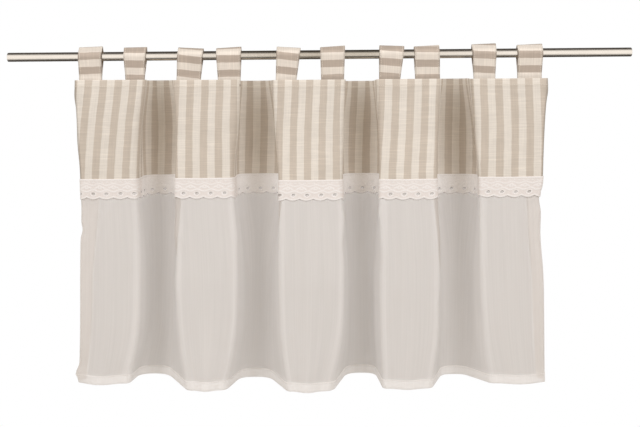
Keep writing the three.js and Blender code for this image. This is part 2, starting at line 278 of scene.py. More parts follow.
# Painted shade in from a tab's sides, either way from its crease, up from the heading's top edge,
# and above the rod's axis
TAB_SIDE_FADE = Fade(0.9, 0.6, 1.9)
TAB_CREASE_FADE = Fade(1.0, 0.8, 2.4)
TAB_FOOT_FADE = Fade(0.55, 0.5, 6.5)
TAB_CROWN_FADE = Fade(0.6, 7.5, 3.0)


class Tab(NamedTuple):
    """A tab. top, low: x of its two edges at the crease over the rod and at the cloth. crease: the
    crease's height at the two edges. beige: run from the crease down to a beige stripe there."""

    top: tuple
    low: tuple
    crease: tuple
    beige: tuple


TABS = (
    Tab((93.9, 124.9), (93.4, 123.4), (12.4, 13.5), (9.1, 9.1)),
    Tab((153.1, 183.4), (154.6, 179.6), (11.6, 12.1), (-0.4, 0.6)),
    Tab((224.7, 258.2), (221.8, 253.8), (11.2, 9.4), (11.7, 14.2)),
    Tab((274.6, 307.8), (276.5, 306.4), (9.6, 11.5), (12.1, 13.1)),
    Tab((354.5, 386.1), (352.8, 380.4), (11.2, 9.2), (8.5, 10.8)),
    Tab((411.7, 444.6), (412.7, 443), (9.8, 11.9), (0.3, 1.2)),
    Tab((490, 522.9), (489.2, 517.3), (11.7, 10.5), (-1.2, 0.9)),
    Tab((535.4, 568.6), (536.8, 569.6), (9.8, 11.5), (0.8, 2.2)),
    Tab((611.5, 643.5), (614, 642.6), (11.9, 13.1), (10.4, 13.4)),
    Tab((671.3, 704.7), (671.8, 703.8), (10.7, 12), (10.1, 11.3)),
)
TAB_PIECES = [f"cloth_tab_{i + 1}" for i in range(len(TABS))]
TAB_CLEARANCE = 0.5
TAB_THICK = 1.1
TAB_CREASE_RADIUS = 1.1
# A tab's legs meet this far below the rod's axis, and run on this far before and behind it down to
# their lower ends
TAB_JOIN_DROP = 26.0
TAB_TAIL_Y = 0.72
TAB_TAIL_LEVEL = -41.0
TAB_COLUMNS = 17
TAB_HALF_ROWS = 60
# Points round half the crease and half the rod, before they are spaced evenly
TAB_CREASE_POINTS = 9
TAB_ROUND_POINTS = 40
# How much further along the cloth each tab was cut than the one before
TAB_CUT_STEP = 37


class Eyelet(NamedTuple):
    """A ringed hole in each repeat of the lace: its place along and down it, its half sizes, and
    whether it is open or closed by a net."""

    along: float
    down: float
    half_width: float
    half_height: float
    is_open: bool


SCALLOP_PITCH = 18.0
SCALLOP_DEPTH = 2.6
# Share of the lace's width from which its rows follow the scallops
SCALLOP_START = 0.72
LACE_COLUMNS = 20
LACE_ROWS = 31
EYELETS = (Eyelet(9.0, 19.7, 2.3, 1.7, True), Eyelet(0.0, 10.9, 1.3, 1.0, False))
# An open eyelet's rim: share of the lace's thickness at the hole, and how many half sizes of the
# hole further out it is full
RIM_THICK = 0.35
RIM_REACH = 0.9


class Ridge(NamedTuple):
    """A raised line of thread: how far it lies from the line that it follows, how far it waves
    down at the start of a repeat, its half width and its height."""

    away: float
    wave: float
    half_width: float
    height: float


class Mound(NamedTuple):
    """A raised leaf or dash in each repeat of the lace: the repeat's length, its place along and
    down it, its slant in radians, its half sizes and its height."""

    repeat: float
    along: float
    down: float
    lean: float
    half_length: float
    half_width: float
    height: float


# Along the scalloped edge, round an eyelet, and along the lace's straight top
EDGE_RIDGE = Ridge(0.9, 0, 0.9, 0.42)
RING_RIDGE = Ridge(0.7, 0, 0.75, 0.3)
BAND_RIDGES = (Ridge(1.1, 0, 0.7, 0.3), Ridge(15.6, 1.3, 0.8, 0.34), Ridge(7.4, -1.2, 0.7, 0.3))
MOUNDS = (
    Mound(SCALLOP_PITCH, 4.9, 11.6, 0.55, 2.4, 0.9, 0.42),
    Mound(SCALLOP_PITCH, 13.1, 11.6, -0.55, 2.4, 0.9, 0.42),
    Mound(SCALLOP_PITCH / 3, SCALLOP_PITCH / 6, 4.1, 0, 1.9, 0.6, 0.36),
)
MOUND_SOFTNESS = 0.9
# Height from which a thread looks fully raised, and the share of the raised threads' lighter
# colour that all the lace has in a recess, as painted light against the recess's shade
FULL_RELIEF = 0.4
RECESS_PAINTED_LIGHT = 0.9

# Painted light where voile lies doubled: how strongly it shows in front of a curled side and of a
# wall, how much wider for each millimetre that a side's free edge lies further back, how far
# outside the panel's edge it fades in, and how softly it ends
SIDE_SHOWS = 0.8
WALL_SHOWS = 0.25
SIDE_WIDENS = 0.3
DOUBLED_START = (-9, -3)
DOUBLED_END = 1.5

# Rings of a stitch: place along it in its lengths, radius in its thread's radii, and how deep it
# dips, also in those radii
STITCH_RINGS = ((-0.5, 0.35, 0.3), (-0.4, 1, 0), (0.4, 1, 0), (0.5, 0.35, 0.3))
STITCH_SIDES = 6
# Rows of stitches: how far in from the edge they lie, and the margin left free at each end
HEADING_STITCHES = (1.2, 6)
VOILE_STITCHES = (1.0, 6)
LACE_STITCHES = (2.2, 4)
TAB_STITCHES = (2.2, 10)

# Patterns as they are drawn, coarse enough to show: pitch of the striped cotton's threads, the
# voile's yarns, the lace's loops and the sewing thread's plies, and grinding lines in each metre
# along the rod and across it
COTTON_PITCH = 0.9
VOILE_PITCH = 1.2
LOOP_PITCH = 1.1
PLY_PITCH = 0.5
GRINDING_LINES = (9, 2000, 2000)
# How far the stripes' edges wander, and over what half width they blend
STRIPE_WANDER = 0.25
STRIPE_BLEND = 0.35
# Length of one wave in a wave texture's own unit
WAVE_LENGTH = 2 * math.pi / 20

# Camera: level, square on to the rod, with a slight roll as in the photo
CAMERA_PLACE = (411.0, -1150.0, -59.5)
PHOTO_WIDTH = 640
PHOTO_HEIGHT = 427
FOCAL_PIXELS = 871.2
HORIZON_PIXEL = 99.75
CAMERA_ROLL = 0.0086
SENSOR_WIDTH = 36.0
# Lights: where they look, how far off they stand, and in radians how high and how far round
LIGHT_AIM = (0.411, 0.0, -0.2)
LIGHT_DISTANCE = 2.0
LIGHT_SIZE = (0.9, 1.7)
LIGHT_COLOUR = (0.98, 1.0, 1.045)
LIGHT_RISE = math.radians(30)
RIGHT_TURN = math.radians(38)
LEFT_TURN = math.radians(-42)
FLOOR_LEVEL = -1300.0
FLOOR_RADIUS = 1150.0
FLOOR_SIDES = 96
# The surround that the rod mirrors, by directions of length 1: how high its light band reaches,
# from in front of the object to behind it, how the band's light ends past that height, and how far
# to each side its dimmer middle ends
BAND_REACH = (-0.2, 0.4, 0.84, 0.3)
BAND_END = (-0.36, 0.1, 1.0, 0.05)
BAND_MIDDLE_END = (0.13, 0.24)
BAND_MIDDLE = (0.66, 0.6, 0.52, 1)
BAND_SIDES = (1.42, 1.38, 1.36, 1)
BAND_OUTSIDE = (0.02, 0.015, 0.01, 1)
# How the even light grows from low directions to high ones
FILL_SLOPE = (-0.6, 0.6, 0.7, 1.3)
WHITE = (1, 1, 1, 1)


# Arrays


def lerp(a, b, t):
    return a + (b - a) * t


def smooth(low, high, value):
    """0 below low, 1 above high, and 3 t^2 - 2 t^3 in between."""
    t = np.clip((value - low) / (high - low), 0, 1)
    return t * t * (3 - 2 * t)


def bell(distance, width):
    """exp(-(distance / width)^2), 1 in the middle."""
    return np.exp(-((distance / width) ** 2))


def along(values, station):
    """Values given at whole stations, read in between by a cubic whose slope at each station is
    half the difference of its neighbours."""
    values = np.asarray(values, float)
    last = len(values) - 1
    i = np.minimum(np.asarray(station).astype(int), last - 1)
    t = station - i
    here, there = values[i], values[i + 1]
    slope_in = (there - values[np.maximum(i - 1, 0)]) / 2
    slope_out = (values[np.minimum(i + 2, last)] - here) / 2
    return (
        (2 * t**3 - 3 * t**2 + 1) * here
        + (t**3 - 2 * t**2 + t) * slope_in
        + (3 * t**2 - 2 * t**3) * there
        + (t**3 - t**2) * slope_out
    )


def station_of(level):
    """Stations grow evenly from the top edge to the lace, and to half way down the voile. From
    there to the hem they grow by t^2, so that the folds open mostly at the hem."""
    above = LACE_STATION * (TOP_LEVEL - level) / (TOP_LEVEL - LACE_LEVEL)
    half = 2 * (LACE_LEVEL - level) / (LACE_LEVEL - HEM_LEVEL)
    below = LACE_STATION + np.minimum(half, 1) + np.clip(half - 1, 0, 1) ** 2
    return np.clip(np.where(level >= LACE_LEVEL, above, below), 0, HEM_STATION)


def voile_share(station):
    """0 at the lace and above, and 1 at the hem."""
    return np.clip((station - LACE_STATION) / (HEM_STATION - LACE_STATION), 0, 1)


def recessed(points):
    """0 on the panels in front, and 1 in the recesses behind."""
    return smooth(FRONT_LIMIT, BACK_LIMIT, points[..., 1])


def faded(fade, distance):
    """The fade's strength at its full distance, and 0 where it is gone."""
    return fade.strength * (1 - smooth(fade.full, fade.gone, distance))


def unit(vectors):
    """Vectors over the last axis, each divided by its length."""
    return vectors / np.linalg.norm(vectors, axis=-1, keepdims=True)


def run_length(points):
    """Length along each row of points: the sum of the distances between neighbours, from 0."""
    steps = np.linalg.norm(np.diff(points, axis=-2), axis=-1)
    return np.concatenate([np.zeros_like(steps[..., :1]), np.cumsum(steps, axis=-1)], axis=-1)


# The folds


class Corner(NamedTuple):
    """A corner of the fold section: its place and radius at each row, the face that it belongs to,
    and the kind and crown of the stretch that starts there."""

    x: np.ndarray
    y: np.ndarray
    radius: np.ndarray
    face: int
    stretch: str
    crown: float = 0


def section_corners(station):
    """The section's corners from the left free edge to the right one: two for each wall, and three
    for each side, where the cloth turns back behind its end panel."""
    nothing = np.zeros_like(station)
    side = nothing + SIDE_RADIUS
    face_y = [along(face.y, station) for face in FACES]
    last = len(FACES) - 1

    def side_places(given, face, inward):
        x = along(given.x, station)
        turn = face_y[face] + SIDE_TURN
        free_x = x + inward * along(given.inwards, station)
        free_y = turn + along(given.backwards, station)
        return (free_x, free_y), (x, turn), (x, face_y[face])

    free, turn, edge = side_places(LEFT_SIDE, 0, 1)
    corners = [
        Corner(*free, nothing, 0, "wall"),
        Corner(*turn, side, 0, "side"),
        Corner(*edge, side, 0, "face", FACES[0].crown),
    ]
    for i, wall in enumerate(WALLS):
        leaves_panel = FACES[i].kind == "panel"
        panel_x = along(wall.x, station)
        lean = along(wall.lean, station)
        recess_x = panel_x - lean if leaves_panel else panel_x + lean
        bends = RIGHT_RADIUS if leaves_panel else LEFT_RADIUS
        front = along((*bends, wall.hem_radius[0]), station)
        back = along((*BACK_RADIUS, wall.hem_radius[1]), station)
        ends = [(panel_x, front), (recess_x, back)]
        first, second = ends if leaves_panel else ends[::-1]
        corners.append(Corner(first[0], face_y[i], first[1], i, "wall"))
        crown = FACES[i + 1].crown
        corners.append(Corner(second[0], face_y[i + 1], second[1], i + 1, "face", crown))
    free, turn, edge = side_places(RIGHT_SIDE, last, -1)
    corners.append(Corner(*edge, side, last, "side"))
    corners.append(Corner(*turn, side, last, "wall"))
    corners.append(Corner(*free, nothing, last, "end"))
    return corners


def fold_section(station):
    """The section at each row: every bend is a parabola (1-t)^2 a + 2t(1-t) c + t^2 b between its
    two straight stretches, and a crowned stretch bows forward by crown sin^2(pi t).

    Returns the plan as rows by columns of x and y, the face at each column, with parts of a face
    on the walls, and the first and last column of each face's own stretch."""
    corners = section_corners(station)
    place = np.array([[c.x, c.y] for c in corners]).transpose(0, 2, 1)
    radius = np.array([c.radius for c in corners])
    leg = np.diff(place, axis=0)
    reach = np.linalg.norm(leg, axis=-1)
    way = leg / reach[..., None]
    angle = np.arctan2(leg[..., 1], leg[..., 0])
    turn = np.abs(np.angle(np.exp(1j * np.diff(angle, axis=0))))
    room = np.minimum(reach[:-1], reach[1:])
    cut = np.zeros_like(radius)
    cut[1:-1] = np.minimum(radius[1:-1] * np.tan(turn / 2), BEND_SHARE * room)

    columns, faces, spans = [], [], []
    count = 0
    for i, corner in enumerate(corners):
        bend = place[i][None]
        if 0 < i < len(corners) - 1:
            t = np.linspace(0, 1, BEND_COLUMNS + 1)[:, None, None]
            a = place[i] - way[i - 1] * cut[i][:, None]
            b = place[i] + way[i] * cut[i][:, None]
            bend = (1 - t) ** 2 * a + 2 * t * (1 - t) * place[i] + t**2 * b
        columns.append(bend)
        faces.append(np.full(len(bend), float(corner.face)))
        count += len(bend)
        if corner.stretch == "end":
            break
        steps = COLUMNS[corner.stretch]
        t = (np.arange(1, steps) / steps)[:, None, None]
        a = place[i] + way[i] * cut[i][:, None]
        b = place[i + 1] - way[i] * cut[i + 1][:, None]
        stretch = lerp(a, b, t)
        stretch[..., 1] -= corner.crown * station / HEM_STATION * np.sin(np.pi * t[..., 0]) ** 2
        columns.append(stretch)
        faces.append(lerp(corner.face, corners[i + 1].face, t[:, 0, 0]))
        if corner.stretch == "face":
            spans.append((count - 1, count + len(stretch)))
        count += len(stretch)
    return np.concatenate(columns).transpose(1, 0, 2), np.concatenate(faces), spans


def sag_of(face, station):
    """How far the cloth hangs off its level: the faces' sags, read evenly between the faces across
    and between top, lace and hem down."""
    table = np.array([f.sag for f in FACES]).T
    top, lace, hem = (np.interp(face, np.arange(len(FACES)), row) for row in table)
    upper = np.clip(station / LACE_STATION, 0, 1)[:, None]
    return lerp(lerp(top, lace, upper), hem, voile_share(station)[:, None])


def crease(points):
    """Points moved by the creases: each moves them sideways and forwards by its shift times
    exp(-(u/width)^2 - (v/length)^2), where v is up from its middle and u across its slant."""
    is_back = recessed(points)
    moved = points.copy()
    for folds, strength in ((PANEL_CREASES, 1 - is_back), (RECESS_CREASES, is_back)):
        for fold in folds:
            v = points[..., 2] - fold.place[1]
            u = points[..., 0] - fold.place[0] - fold.lean * v
            amount = bell(u, fold.size[0]) * bell(v, fold.size[1]) * strength
            moved[..., 0] += fold.shift[0] * amount
            moved[..., 1] -= fold.shift[1] * amount
    return moved


class Hanging(NamedTuple):
    """Cloth in its folds: middle points, the way that its face looks, the run along it, the
    columns of each face and the level of each row."""

    middle: np.ndarray
    out: np.ndarray
    run: np.ndarray
    spans: list
    level: np.ndarray


def hang(level):
    """The curtain's middle surface at the given levels. Its face looks along (dy, -dx), square to
    the section."""
    station = station_of(level)
    plan, face, spans = fold_section(station)
    height = level[:, None] + sag_of(face, station)
    middle = crease(np.concatenate([plan, height[..., None]], axis=-1))
    slope = np.gradient(middle[..., :2], axis=1)
    out = np.stack([slope[..., 1], -slope[..., 0], np.zeros(slope.shape[:2])], axis=-1)
    return Hanging(middle, unit(out), run_length(middle[..., :2]), spans, level)


def rows_between(*stops, step):
    """Levels from the first stop to the last, no further apart than step. At each stop but the
    first and last, two rows stand HEM_STEP apart, so that a hem's edge is crisp. The outermost
    rows lie SOFT_EDGE from the edges."""
    bounds = [stops[0] - SOFT_EDGE]
    for stop in stops[1:-1]:
        bounds += [stop + HEM_STEP / 2, stop - HEM_STEP / 2]
    bounds.append(stops[-1] + SOFT_EDGE)
    level = [np.array([stops[0]])]
    for high, low in zip(bounds[::2], bounds[1::2]):
        level.append(np.linspace(high, low, math.ceil((high - low) / step) + 1))
    level.append(np.array([stops[-1]]))
    return np.concatenate(level)


def stripe_run(cloth):
    """Place along the striped cloth, in pitches of the stripes. On a face it is the distance in x
    from the stripe that the table places, over the face's own pitch. Between faces it is read
    along the run, with the whole number of stripes that fits the wall best."""
    station = np.minimum(station_of(cloth.level), LACE_STATION)
    x = cloth.middle[..., 0]
    mid_row = len(cloth.level) // 2
    stripes = np.empty_like(x)
    number = 0
    past = 0
    for face, (start, stop) in zip(FACES, cloth.spans):
        edge = along(face.cream_x, station)[:, None]
        own = (x[:, start : stop + 1] - edge) / face.pitch
        between = cloth.run[:, past : start + 1] - cloth.run[:, past : past + 1]
        length = between[:, -1:]
        if past:
            before = stripes[:, past : past + 1]
            expected = before[mid_row, 0] + length[mid_row, 0] / STRIPE_PITCH
            number = round(expected - own[mid_row, 0])
        else:
            before = own[:, :1] - length / STRIPE_PITCH
        stripes[:, past : start + 1] = lerp(before, own[:, :1] + number, between / length)
        stripes[:, start : stop + 1] = own + number
        past = stop
    run = cloth.run[:, past:] - cloth.run[:, past : past + 1]
    stripes[:, past:] = stripes[:, past : past + 1] + run / STRIPE_PITCH
    return stripes


# Meshes


def put_mesh(name, points, faces, uv, material, attributes=None):
    """A new object at the origin from points in millimetres, faces as lists of point numbers, and
    a UV pair for each point, in millimetres of cloth that become metres."""
    mesh = bpy.data.meshes.new(name)
    mesh.from_pydata((points * MM).tolist(), [], faces)
    corners = np.empty(len(mesh.loops), np.int32)
    mesh.loops.foreach_get("vertex_index", corners)
    layer = mesh.uv_layers.new(name="cloth")
    layer.data.foreach_set("uv", (uv[corners] * MM).astype(np.float32).ravel())
    for key, values in (attributes or {}).items():
        attribute = mesh.attributes.new(key, "FLOAT", "POINT")
        attribute.data.foreach_set("value", np.asarray(values, np.float32).ravel())
    mesh.shade_smooth()
    mesh.materials.append(material)
    piece = bpy.data.objects.new(name, mesh)
    bpy.context.scene.collection.objects.link(piece)
    return piece


def grid_faces(rows, columns, first=0):
    """Four-sided faces of a grid whose points are numbered row by row, facing the side from which
    rows run down and columns run right."""
    corner = first + np.arange(rows - 1)[:, None] * columns + np.arange(columns - 1)
    below = corner + columns
    return np.stack([corner, below, below + 1, corner + 1], axis=-1).reshape(-1, 4)


def outer_rim(rows, columns):
    """Faces that join the four edges of a front grid to those of the back grid behind it."""
    front = np.arange(rows * columns).reshape(rows, columns)
    edges = (front[0], front[-1, ::-1], front[::-1, 0], front[:, -1])
    pairs = np.concatenate([np.stack([edge[:-1], edge[1:]], axis=-1) for edge in edges])
    return np.concatenate([pairs, pairs[:, ::-1] + rows * columns], axis=-1)


def thin_edges(thick):
    """Thickness halved on the outermost rows and columns, for a soft edge."""
    thick = thick.copy()
    thick[[0, -1], :] *= 0.5
    thick[:, [0, -1]] *= 0.5
    return thick


def cloth_piece(name, middle, out, thick, uv, material, attributes=None):
    """A closed sheet: its front lies half its thickness along out from the middle surface, and its
    back as far behind."""
    rows, columns = middle.shape[:2]
    half = thin_edges(np.broadcast_to(thick, (rows, columns)))[..., None] / 2
    points = np.concatenate([middle + out * half, middle - out * half]).reshape(-1, 3)
    twice = {key: np.tile(np.ravel(values), 2) for key, values in (attributes or {}).items()}
    uv = np.tile(uv.reshape(-1, 2), (2, 1))
    front = grid_faces(rows, columns)
    back = grid_faces(rows, columns, rows * columns)[:, ::-1]
    faces = np.concatenate([front, back, outer_rim(rows, columns)]).tolist()
    return put_mesh(name, points, faces, uv, material, twice)


def cloth_uv(cloth, run):
    """UV of hanging cloth: a run across, and how far down from the top edge it lies."""
    down = np.broadcast_to(TOP_LEVEL - cloth.level[:, None], cloth.run.shape)
    return np.stack([np.broadcast_to(run, cloth.run.shape), down], axis=-1)


def belongs(piece, slot, *nodes):
    """The piece rides on the curtain's body and stands for these solids."""
    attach(piece, BODY)
    if nodes:
        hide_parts(*nodes)


def hangs(piece, slot, node):
    """The piece stands for a solid."""
    belongs(piece, slot, node)


def tube_faces(rings, sides):
    """Faces of a closed tube whose points are numbered ring by ring, each ring turning
    right-handed about the way along it: its wall's faces and its two ends."""
    number = np.arange(rings * sides).reshape(rings, sides)
    turned = np.roll(number, -1, axis=1)
    wall = np.stack([number[:-1], turned[:-1], turned[1:], number[1:]], axis=-1).reshape(-1, 4)
    return wall, np.stack([number[0, ::-1], number[-1]])


def stitch_piece(name, places, ways, outs, thread, slot):
    """Stitches: at each place a capsule of thread laid along its way, half sunk in the cloth. Its
    section is a ring that narrows and dips at each end."""
    sizes = bpy.context.scene.curtain_sizes
    radius = sizes.thread / MM / 2
    length = sizes.stitch / MM
    angle = np.arange(STITCH_SIDES) * 2 * math.pi / STITCH_SIDES
    stop, width, sunk = np.array(STITCH_RINGS).T[..., None]
    side = np.cross(outs, ways)
    points = (
        places[:, None, None]
        + ways[:, None, None] * (length * stop)[..., None]
        + side[:, None, None] * (radius * width * np.cos(angle))[..., None]
        + outs[:, None, None] * (radius * (width * np.sin(angle) - sunk))[..., None]
    ).reshape(-1, 3)
    wall, ends = tube_faces(len(STITCH_RINGS), STITCH_SIDES)
    first = np.arange(len(places))[:, None, None] * len(STITCH_RINGS) * STITCH_SIDES
    faces = (first + wall).reshape(-1, 4).tolist()
    faces += (first + ends).reshape(-1, STITCH_SIDES).tolist()
    belongs(put_mesh(name, points, faces, points[:, :2], thread), slot)


def stitch_line(points, outs, length, margin):
    """Places, ways and outs of the stitches along a line of that length, but for a margin at each
    end."""
    run = run_length(points)
    spots = np.arange(margin, length - margin, bpy.context.scene.curtain_sizes.step / MM)

    def read(values):
        return np.stack([np.interp(spots, run, values[:, k]) for k in range(3)], axis=-1)

    ways = unit(read(np.gradient(points, axis=0)))
    square = read(outs)
    square = unit(square - ways * np.sum(square * ways, axis=-1, keepdims=True))
    return read(points), ways, square


def hem_stitches(name, level, thick, margin, thread, slot):
    """A row of stitches along the folds at that level, on the front of a hem that thick."""
    seam = hang(np.array([level]))
    face = seam.middle[0] + seam.out[0] * thick / 2
    spots = stitch_line(face, seam.out[0], seam.run[0, -1], margin)
    stitch_piece(name, *spots, thread, slot)


# Materials


def tint(hex_colour):
    """An sRGB colour such as E3DACC as linear red, green and blue."""
    share = np.array([int(hex_colour[i : i + 2], 16) for i in (0, 2, 4)]) / 255
    return tuple(np.where(share <= 0.04045, share / 12.92, ((share + 0.055) / 1.055) ** 2.4))


def add(tree, kind, inputs=(), output=0, **settings):
    """Adds a node of a kind. Its inputs are values, or the sockets that feed them, in their order
    or by name or number. Returns the socket of one of its outputs. A MapRange takes a value, the
    range that it comes from and the range that it becomes. A Mix of colours takes a share at 0 and
    two colours at 6 and 7, and its output 2 is their mix."""
    node = tree.nodes.new("ShaderNode" + kind)
    for key, value in settings.items():
        setattr(node, key, value)
    for key, value in inputs.items() if isinstance(inputs, dict) else enumerate(inputs):
        if isinstance(value, bpy.types.NodeSocket):
            tree.links.new(value, node.inputs[key])
        else:
            node.inputs[key].default_value = value
    return node.outputs[output] if node.outputs else None


def finished(name, make, *values):
    """The material of that name, built when it is first asked for: its function adds the nodes of
    its patterns and returns the inputs of its surface."""
    material = bpy.data.materials.get(name)
    if material is None:
        material = bpy.data.materials.new(name)
        material.use_nodes = True
        tree = material.node_tree
        tree.nodes.clear()
        surface = add(tree, "BsdfPrincipled", make(tree, *values))
        add(tree, "OutputMaterial", {"Surface": surface})
    return material


def grain(tree, place, across, down, detail=2.0):
    """Noise whose grains are about across by down millimetres of the cloth."""
    scale = (1 / (across * MM), 1 / (down * MM), 1)
    stretched = add(tree, "Mapping", {"Vector": place, "Scale": scale})
    return add(tree, "TexNoise", {"Vector": stretched, "Scale": 1.0, "Detail": detail})


def threads(tree, place, pitch):
    """A plain weave of the given pitch in millimetres: waves across times waves down, 0 in the
    gaps and 1 where threads cross."""
    scale = WAVE_LENGTH / (pitch * MM)
    wave = {"Vector": place, "Scale": scale, "Distortion": 0.6, "Detail": 1.0}
    ways = [add(tree, "TexWave", wave, 1, bands_direction=axis) for axis in "XY"]
    return add(tree, "Math", ways, operation="MULTIPLY")


def striped_cotton(tree, cream, beige):
    """Yarn-dyed striped cotton, plain woven with slubby weft. Matt threads of two colours, with
    thin lighter and darker lines across the stripes where the weft is thick or thin. Threads are
    0.45 mm apart, and drawn COTTON_PITCH apart to show."""
    uv = add(tree, "UVMap", uv_map="cloth")
    run = add(tree, "SeparateXYZ", [uv])
    quarter = STRIPE_PITCH * MM / 4
    ends = (quarter - STRIPE_WANDER * MM, quarter + STRIPE_WANDER * MM)
    wander = add(tree, "MapRange", [grain(tree, uv, 3, 12), 0.3, 0.7, *ends])
    place = add(tree, "Math", [run, wander], operation="ADD")
    zigzag = add(tree, "Math", [place, 2 * quarter], operation="PINGPONG")
    ends = (quarter - STRIPE_BLEND * MM, quarter + STRIPE_BLEND * MM)
    is_cream = add(tree, "MapRange", [zigzag, *ends], interpolation_type="SMOOTHSTEP")
    dyes = {0: is_cream, 6: (*beige, 1), 7: (*cream, 1)}
    dyed = add(tree, "Mix", dyes, 2, data_type="RGBA")

    slub = add(tree, "MapRange", [grain(tree, uv, 34, 1.3, 3.0), 0.46, 0.8, 0.98, 1.16])
    yarn = add(tree, "MapRange", [grain(tree, uv, 1.1, 60), 0.25, 0.75, 0.95, 1.05])
    cloud = add(tree, "MapRange", [grain(tree, uv, 22, 26), 0.25, 0.75, 0.96, 1.04])
    # Painted light: the doubled hem is drawn 7 % lighter
    layers = add(tree, "Attribute", output="Fac", attribute_name="layers")
    hem = add(tree, "MapRange", [layers, 0, 1, 1, 1.07])
    # Painted shade: up to 30 % darker where the shade attribute is 1
    turned = add(tree, "Attribute", output="Fac", attribute_name="shade")
    shade = add(tree, "MapRange", [turned, 0, 1, 1, 0.7])
    light = slub
    for part in (yarn, cloud, hem, shade):
        light = add(tree, "Math", [light, part], operation="MULTIPLY")
    weave = threads(tree, uv, COTTON_PITCH)
    height = add(tree, "Math", [weave, 0.5, slub], operation="MULTIPLY_ADD")
    return {
        "Base Color": add(tree, "VectorMath", [dyed, light], operation="MULTIPLY"),
        "Roughness": add(tree, "MapRange", [weave, 0, 1, 0.92, 0.8]),
        "Normal": add(tree, "Bump", {"Height": height, "Strength": 0.35, "Distance": 0.4 * MM}),
        "Specular IOR Level": 0.3,
        "Sheen Weight": 0.12,
    }


def cotton_lace(tree, colours):
    """White cotton lace, made by machine. Thick matt thread, with small loops that catch the
    light. Loops are 0.8 mm, and drawn LOOP_PITCH wide to show."""
    uv = add(tree, "UVMap", uv_map="cloth")
    loop = grain(tree, uv, LOOP_PITCH, LOOP_PITCH, 3.0)
    # The raised attribute also holds painted light: all the lace is drawn lighter in the recesses
    raised = add(tree, "Attribute", output="Fac", attribute_name="raised")
    pair = {0: raised, 6: (*colours.lace_ground, 1), 7: (*colours.lace, 1)}
    cotton = add(tree, "Mix", pair, 2, data_type="RGBA")
    light = add(tree, "MapRange", [loop, 0.25, 0.75, 0.93, 1.05])
    return {
        "Base Color": add(tree, "VectorMath", [cotton, light], operation="MULTIPLY"),
        "Roughness": add(tree, "MapRange", [loop, 0.3, 0.7, 0.9, 0.75]),
        "Normal": add(tree, "Bump", {"Height": loop, "Strength": 0.5, "Distance": 0.5 * MM}),
        "Specular IOR Level": 0.3,
        "Sheen Weight": 0.1,
    }


def polyester_voile(tree, colours):
    """Polyester voile, woven open from fine twisted yarn. Lets some light through, has painted
    light where layers lie double, which draws it whiter there, and has faint streaks down the
    warp. Yarns are 0.3 mm apart, and drawn VOILE_PITCH apart to show."""
    uv = add(tree, "UVMap", uv_map="cloth")
    streak = add(tree, "MapRange", [grain(tree, uv, 1.6, 140), 0.25, 0.75, 0.965, 1.035])
    broad = add(tree, "MapRange", [grain(tree, uv, 9, 220), 0.25, 0.75, 0.985, 1.015])
    light = add(tree, "Math", [streak, broad], operation="MULTIPLY")
    # Painted light: a lighter colour where the voile lies double and at its hem
    layers = add(tree, "Attribute", output="Fac", attribute_name="layers")
    pair = {0: layers, 6: (*colours.voile, 1), 7: (*colours.voile_doubled_painted_light, 1)}
    cloth = add(tree, "Mix", pair, 2, data_type="RGBA")
    weave = threads(tree, uv, VOILE_PITCH)
    return {
        "Base Color": add(tree, "VectorMath", [cloth, light], operation="MULTIPLY"),
        "Roughness": add(tree, "MapRange", [weave, 0, 1, 0.75, 0.6]),
        "Normal": add(tree, "Bump", {"Height": weave, "Strength": 0.15, "Distance": 0.2 * MM}),
        "Specular IOR Level": 0.25,
        "Sheen Weight": 0.1,
        "Alpha": colours.cover,
    }


def satin_steel(tree, colours):
    """Steel tube, ground and nickel plated, satin. A soft mirror with fine lines along the rod, so
    that it shows one light band between two dark ones. Grinding lines are 0.1 mm apart, and drawn
    as GRINDING_LINES says to show."""
    place = add(tree, "TexCoord", output="Object")
    drawn = add(tree, "Mapping", {"Vector": place, "Scale": GRINDING_LINES})
    lines = add(tree, "TexNoise", {"Vector": drawn, "Scale": 1.0})
    wear = add(tree, "TexNoise", {"Vector": place, "Scale": 35.0, "Detail": 3.0})
    rough = add(tree, "MapRange", [lines, 0.3, 0.7, 0.22, 0.34])
    worn = add(tree, "MapRange", [wear, 0.3, 0.7, -0.03, 0.05])
    light = add(tree, "MapRange", [lines, 0.3, 0.7, 0.94, 1.04])
    return {
        "Base Color": add(tree, "VectorMath", [colours.steel, light], operation="MULTIPLY"),
        "Roughness": add(tree, "Math", [rough, worn], operation="ADD"),
        "Normal": add(tree, "Bump", {"Height": lines, "Strength": 0.08, "Distance": 0.1 * MM}),
        "Metallic": 1.0,
    }


def sewing_thread(tree, colour):
    """Polyester sewing thread, two plies twisted. Slightly brighter than the cloth, with a fine
    slant. Plies are 0.2 mm, and drawn PLY_PITCH wide to show."""
    place = add(tree, "TexCoord", output="Object")
    slant = {"Vector": place, "Scale": WAVE_LENGTH / (PLY_PITCH * MM), "Distortion": 0.4}
    ply = add(tree, "TexWave", slant, 1, bands_direction="DIAGONAL")
    light = add(tree, "MapRange", [ply, 0, 1, 0.88, 1.04])
    return {
        "Base Color": add(tree, "VectorMath", [colour, light], operation="MULTIPLY"),
        "Roughness": add(tree, "MapRange", [ply, 0, 1, 0.6, 0.45]),
        "Normal": add(tree, "Bump", {"Height": ply, "Strength": 0.3, "Distance": 0.1 * MM}),
    }


def floor_paint(tree):
    """Matt pale floor paint, rolled on, with a faint unevenness."""
    place = add(tree, "TexCoord", output="Object")
    cloud = add(tree, "TexNoise", {"Vector": place, "Scale": 3.0})
    pair = {0: cloud, 6: (*tint("DAD8D4"), 1), 7: (*tint("E0DEDB"), 1)}
    return {"Base Color": add(tree, "Mix", pair, 2, data_type="RGBA"), "Roughness": 0.9}


# Sizes and colours


def colour_value(label, description, hex_colour):
    return bpy.props.FloatVectorProperty(
        name=label,
        description=description,
        subtype="COLOR",
        size=3,
        min=0,
        max=1,
        default=tint(hex_colour),
    )


